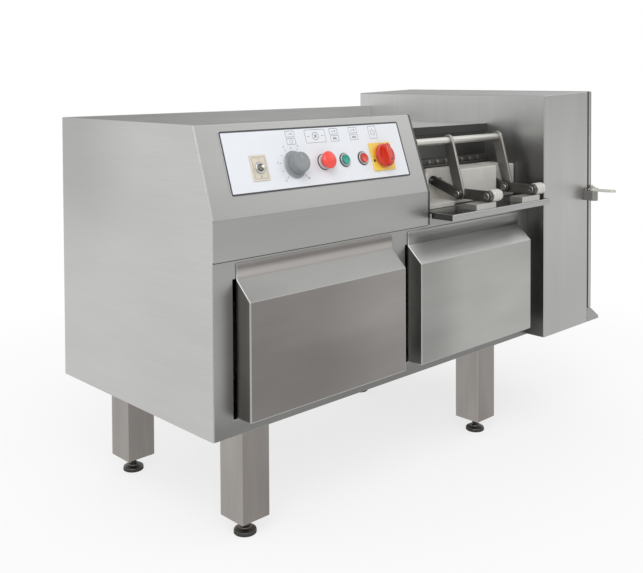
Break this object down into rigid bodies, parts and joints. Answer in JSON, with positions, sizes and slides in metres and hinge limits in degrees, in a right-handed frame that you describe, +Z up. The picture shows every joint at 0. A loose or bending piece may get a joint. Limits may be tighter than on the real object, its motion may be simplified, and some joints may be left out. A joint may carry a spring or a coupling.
{
  "type": "strip cutting machine",
  "caption": "Stainless strip cutter: cabinet on four legs with sloping control panel, hand-closed side press over the feed chamber, and a tall knife housing with a latched side door.",
  "frame": {"origin": "on the floor, under the middle of the machine's bounding box", "axes": "+X along the feed, from the cabinet towards the knife housing; +Y to the back; +Z up"},
  "size_m": [1.3948, 0.807, 0.934],
  "materials": {
    "stainless_sheet": "brushed stainless sheet",
    "stainless_cover": "brushed stainless sheet, darker",
    "stainless_tube": "ground stainless tube",
    "stainless_bright": "bright stainless bar",
    "dark_lever_steel": "blackened steel",
    "knife_steel": "ground knife steel",
    "chromed_steel": "hard chrome",
    "nylon": "white nylon",
    "black_rubber": "matt black rubber",
    "cast_housing": "painted casting",
    "motor_paint": "blue-grey enamel",
    "tank_paint": "grey enamel",
    "panel_white": "white laminate",
    "toggle_beige": "beige plate",
    "knob_grey": "grey moulded plastic",
    "signal_red": "red moulded plastic",
    "signal_green": "green moulded plastic",
    "signal_yellow": "yellow moulded plastic",
    "black_plastic": "black moulded plastic",
    "foot_steel": "plated steel"
  },
  "bodies": {
    "cabinet": {"left_side_panel": "stainless_sheet", "rear_panel": "stainless_sheet", "floor_pan": "stainless_sheet", "front_frame": "stainless_sheet", "left_service_cover": "stainless_cover", "right_service_cover": "stainless_cover", "control_hood": "stainless_sheet", "partition_wall": "stainless_sheet", "top_deck": "stainless_sheet", "deck_edge_trim": "black_rubber", "base_frame": "stainless_tube", "front_legs": "stainless_tube", "rear_legs": "stainless_tube", "press_shelf": "stainless_sheet", "feed_chamber": "stainless_sheet", "clamp_bar": "dark_lever_steel", "jaw_guide_cheek": "stainless_bright", "pivot_blocks": "nylon", "hydraulic_cylinder": "tank_paint", "oil_tank": "tank_paint", "electric_motor": "motor_paint", "hydraulic_pump": "cast_housing", "knife_housing": "stainless_sheet", "door_gasket": "black_rubber", "discharge_chute": "stainless_sheet", "hinge_leaves": "stainless_tube", "latch_bracket": "stainless_tube", "grid_carrier": "stainless_tube", "knife_bearing": "cast_housing", "knife_gearmotor": "motor_paint", "control_plate": "panel_white", "toggle_plate": "toggle_beige", "button_collars": "chromed_steel", "main_switch_plate": "signal_yellow", "cable_gland": "black_plastic"},
    "handle_crank": {"handle_bar": "stainless_bright", "press_arms": "stainless_bright", "press_levers": "dark_lever_steel", "lever_pins": "stainless_bright"},
    "toggle_links": {"rear_links": "dark_lever_steel"},
    "jaw": {"press_jaw": "nylon"},
    "ram": {"pusher_head": "nylon", "ram_rod": "chromed_steel"},
    "upright_blades": {"vertical_grid": "knife_steel"},
    "level_blades": {"horizontal_grid": "knife_steel"},
    "rotor": {"knife_shaft": "stainless_tube", "cutoff_knife": "knife_steel"},
    "door": {"side_door": "stainless_sheet", "door_fittings": "stainless_tube"},
    "latch": {"door_latch": "stainless_bright"},
    "estop": {"estop_head": "signal_red"},
    "start": {"start_button": "signal_green"},
    "stop": {"stop_button": "signal_red"},
    "main_switch": {"main_switch_knob": "signal_red"},
    "speed_dial": {"speed_knob": "knob_grey"},
    "toggle": {"toggle_lever": "chromed_steel"},
    "foot_fl": {"foot_front_left": "foot_steel"},
    "foot_fr": {"foot_front_right": "foot_steel"},
    "foot_rl": {"foot_rear_left": "foot_steel"},
    "foot_rr": {"foot_rear_right": "foot_steel"}
  },
  "joints": [
    {"name": "handle_swing", "type": "hinge", "parent": "cabinet", "child": "handle_crank", "pos_m": [0.2326, -0.3173, 0.673], "axis": [1, 0, 0], "range_deg": [0, 60]},
    {"name": "link_fold", "type": "hinge", "parent": "handle_crank", "child": "toggle_links", "pos_m": [0.2326, -0.2356, 0.673], "axis": [1, 0, 0], "range_deg": [-110, 0]},
    {"name": "jaw_level", "type": "hinge", "parent": "toggle_links", "child": "jaw", "pos_m": [0.2326, -0.1536, 0.702], "axis": [1, 0, 0], "range_deg": [0, 50]},
    {"name": "ram_feed", "type": "slide", "parent": "cabinet", "child": "ram", "axis": [1, 0, 0], "range_m": [0, 0.37]},
    {"name": "upright_blade_stroke", "type": "slide", "parent": "cabinet", "child": "upright_blades", "axis": [0, 0, 1], "range_m": [-0.0045, 0.0045]},
    {"name": "level_blade_stroke", "type": "slide", "parent": "cabinet", "child": "level_blades", "axis": [0, 1, 0], "range_m": [-0.0045, 0.0045]},
    {"name": "knife_spin", "type": "hinge", "parent": "cabinet", "child": "rotor", "pos_m": [0.4385, 0.0685, 0.585], "axis": [1, 0, 0], "continuous": true},
    {"name": "door_swing", "type": "hinge", "parent": "cabinet", "child": "door", "pos_m": [0.64365, 0.3955, 0.296], "axis": [0, 0, 1], "range_deg": [0, 110]},
    {"name": "latch_turn", "type": "hinge", "parent": "cabinet", "child": "latch", "pos_m": [0.6186, -0.3415, 0.645], "axis": [0, 0, 1], "range_deg": [-90, 0]},
    {"name": "estop_press", "type": "slide", "parent": "cabinet", "child": "estop", "axis": [0, 0.9439, -0.3303], "range_m": [0, 0.004], "stiffness_N_per_m": 2500, "springref_m": -0.002},
    {"name": "start_press", "type": "slide", "parent": "cabinet", "child": "start", "axis": [0, 0.9439, -0.3303], "range_m": [0, 0.003], "stiffness_N_per_m": 1000, "springref_m": -0.002},
    {"name": "stop_press", "type": "slide", "parent": "cabinet", "child": "stop", "axis": [0, 0.9439, -0.3303], "range_m": [0, 0.003], "stiffness_N_per_m": 1000, "springref_m": -0.002},
    {"name": "main_switch_turn", "type": "hinge", "parent": "cabinet", "child": "main_switch", "pos_m": [-0.1724, -0.23147, 0.78937], "axis": [0, -0.9439, 0.3303], "range_deg": [-90, 0]},
    {"name": "speed_turn", "type": "hinge", "parent": "cabinet", "child": "speed_dial", "pos_m": [-0.4514, -0.23147, 0.78937], "axis": [0, -0.9439, 0.3303], "range_deg": [-270, 0]},
    {"name": "toggle_tip", "type": "hinge", "parent": "cabinet", "child": "toggle", "pos_m": [-0.5509, -0.23477, 0.79053], "axis": [1, 0, 0], "range_deg": [-12, 12]},
    {"name": "foot_fl_screw", "type": "hinge", "parent": "cabinet", "child": "foot_fl", "pos_m": [-0.5561, -0.1835, 0], "axis": [0, 0, 1], "continuous": true},
    {"name": "foot_fr_screw", "type": "hinge", "parent": "cabinet", "child": "foot_fr", "pos_m": [0.2623, -0.1835, 0], "axis": [0, 0, 1], "continuous": true},
    {"name": "foot_rl_screw", "type": "hinge", "parent": "cabinet", "child": "foot_rl", "pos_m": [-0.5561, 0.2601, 0], "axis": [0, 0, 1], "continuous": true},
    {"name": "foot_rr_screw", "type": "hinge", "parent": "cabinet", "child": "foot_rr", "pos_m": [0.2623, 0.2601, 0], "axis": [0, 0, 1], "continuous": true}
  ],
  "couplings": [
    {"joint": "link_fold", "follows": "handle_swing", "ratio": -1.8028},
    {"joint": "jaw_level", "follows": "handle_swing", "ratio": 0.80277}
  ]
}
